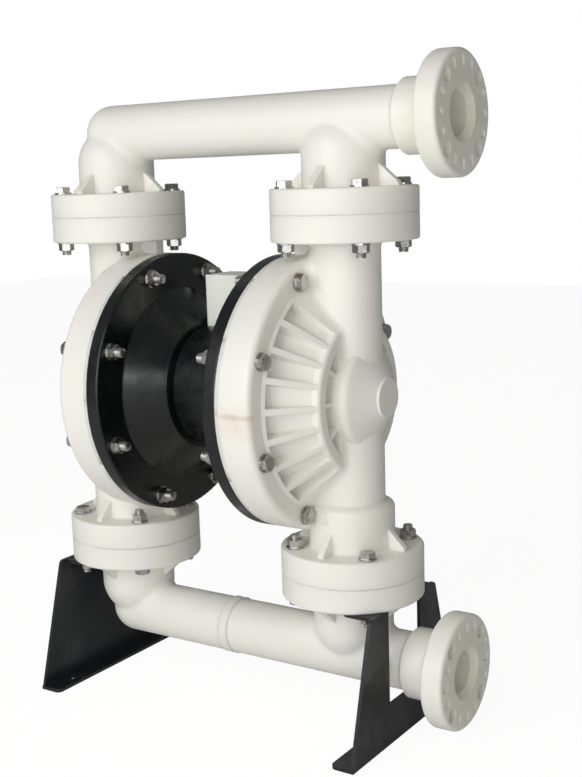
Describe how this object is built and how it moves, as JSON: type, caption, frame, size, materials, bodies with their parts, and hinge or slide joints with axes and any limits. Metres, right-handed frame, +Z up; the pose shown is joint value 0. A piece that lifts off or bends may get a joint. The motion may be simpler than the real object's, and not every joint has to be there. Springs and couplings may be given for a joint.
{
  "type": "air operated double diaphragm pump",
  "caption": "Plastic air operated double diaphragm pump with ribbed white fluid chambers, black air side, flanged side ports and folded steel feet.",
  "frame": {"origin": "on the floor under the middle of the whole pump, port flanges included", "axes": "+X along the shaft towards the two port flanges, +Z up, -Y towards the side the pump is seen from"},
  "size_m": [0.643, 0.367, 0.8841],
  "materials": {
    "white_plastic": "satin",
    "valve_plastic": "satin",
    "black_plastic": "satin",
    "diaphragm_rubber": "matte",
    "ball_plastic": "satin",
    "seat_plastic": "satin",
    "seal_rubber": "matte",
    "bronze": "satin",
    "plate_plastic": "satin",
    "ground_steel": "ground",
    "black_paint": "gloss paint",
    "stainless_steel": "satin"
  },
  "bodies": {
    "pump_housing": {"air_chamber_left": "black_plastic", "air_chamber_right": "black_plastic", "air_valve_body": "valve_plastic", "air_valve_gasket": "seal_rubber", "air_valve_plugs": "valve_plastic", "air_valve_screws": "stainless_steel", "centre_block": "black_plastic", "chamber_bolts_left": "stainless_steel", "chamber_bolts_right": "stainless_steel", "chamber_nuts_left": "stainless_steel", "chamber_nuts_right": "stainless_steel", "diaphragm_left": "diaphragm_rubber", "diaphragm_right": "diaphragm_rubber", "discharge_manifold": "white_plastic", "discharge_seal_left": "seal_rubber", "discharge_seal_right": "seal_rubber", "discharge_seat_left": "seat_plastic", "discharge_seat_right": "seat_plastic", "exhaust_silencer": "black_plastic", "fluid_chamber_left": "white_plastic", "fluid_chamber_right": "white_plastic", "foot_left": "black_paint", "foot_right": "black_paint", "manifold_bolts": "stainless_steel", "manifold_nuts": "stainless_steel", "shaft_bush_left": "bronze", "shaft_bush_right": "bronze", "shaft_seal_left": "seal_rubber", "shaft_seal_right": "seal_rubber", "suction_manifold": "white_plastic", "suction_seal_left": "seal_rubber", "suction_seal_right": "seal_rubber", "suction_seat_left": "seat_plastic", "suction_seat_right": "seat_plastic"},
    "shaft_assembly": {"shaft": "ground_steel", "inner_plate_left": "plate_plastic", "inner_plate_right": "plate_plastic", "outer_plate_left": "plate_plastic", "outer_plate_right": "plate_plastic"},
    "air_valve_spool": {"air_valve_spool": "ground_steel"},
    "pilot_pin": {"pilot_pin": "ground_steel"},
    "discharge_ball_left": {"discharge_ball_left": "ball_plastic"},
    "discharge_ball_right": {"discharge_ball_right": "ball_plastic"},
    "suction_ball_left": {"suction_ball_left": "ball_plastic"},
    "suction_ball_right": {"suction_ball_right": "ball_plastic"}
  },
  "joints": [
    {"name": "shaft_slide", "type": "slide", "parent": "pump_housing", "child": "shaft_assembly", "axis": [1, 0, 0], "range_m": [-0.011, 0.011], "deforming": ["diaphragm_left", "diaphragm_right"]},
    {"name": "pilot_slide", "type": "slide", "parent": "pump_housing", "child": "pilot_pin", "axis": [1, 0, 0], "range_m": [-0.004, 0.004]},
    {"name": "spool_slide", "type": "slide", "parent": "pump_housing", "child": "air_valve_spool", "axis": [1, 0, 0], "range_m": [-0.0039, 0.0039]},
    {"name": "discharge_ball_left_lift", "type": "slide", "parent": "pump_housing", "child": "discharge_ball_left", "axis": [0, 0, 1], "range_m": [0, 0.013]},
    {"name": "discharge_ball_right_lift", "type": "slide", "parent": "pump_housing", "child": "discharge_ball_right", "axis": [0, 0, 1], "range_m": [0, 0.013]},
    {"name": "suction_ball_left_lift", "type": "slide", "parent": "pump_housing", "child": "suction_ball_left", "axis": [0, 0, 1], "range_m": [0, 0.013]},
    {"name": "suction_ball_right_lift", "type": "slide", "parent": "pump_housing", "child": "suction_ball_right", "axis": [0, 0, 1], "range_m": [0, 0.013]}
  ],
  "couplings": [
    {"joint": "pilot_slide", "follows": "shaft_slide", "ratio": 0.36364}
  ]
}
